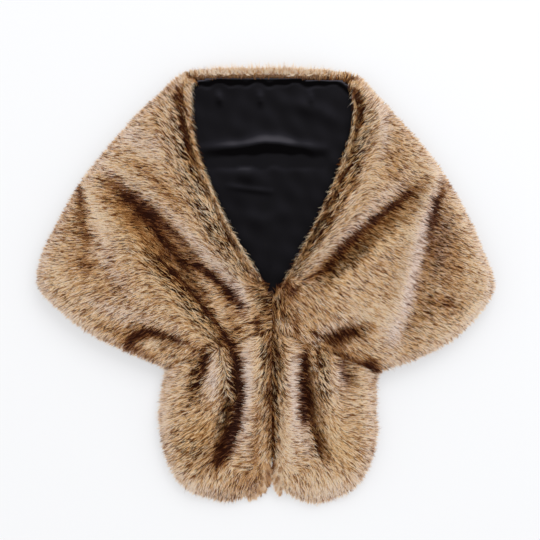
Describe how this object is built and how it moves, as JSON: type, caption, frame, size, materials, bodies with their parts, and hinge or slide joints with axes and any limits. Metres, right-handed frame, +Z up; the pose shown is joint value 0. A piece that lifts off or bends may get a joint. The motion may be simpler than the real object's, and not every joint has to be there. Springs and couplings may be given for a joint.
{
  "type": "faux fur capelet",
  "caption": "Faux fur capelet laid flat, fronts closed at the waist over a satin-lined back, with a gathered tail hanging from each front.",
  "frame": {"origin": "middle of the outline, on the surface that the capelet lies on", "axes": "+Z up, out of the fronts' fur face; +Y from the tails to the neck; +X to the right seen from above"},
  "size_m": [0.6414, 0.6092, 0.0445],
  "materials": {
    "faux_fur": "long brown faux fur pile with dark roots and pale tips",
    "lining_satin": "black polyester satin"
  },
  "bodies": {
    "root": {"back": "faux_fur", "back_lining": "lining_satin", "left_front": "faux_fur", "right_front": "faux_fur", "left_tail": "faux_fur", "right_tail": "faux_fur"}
  },
  "joints": []
}
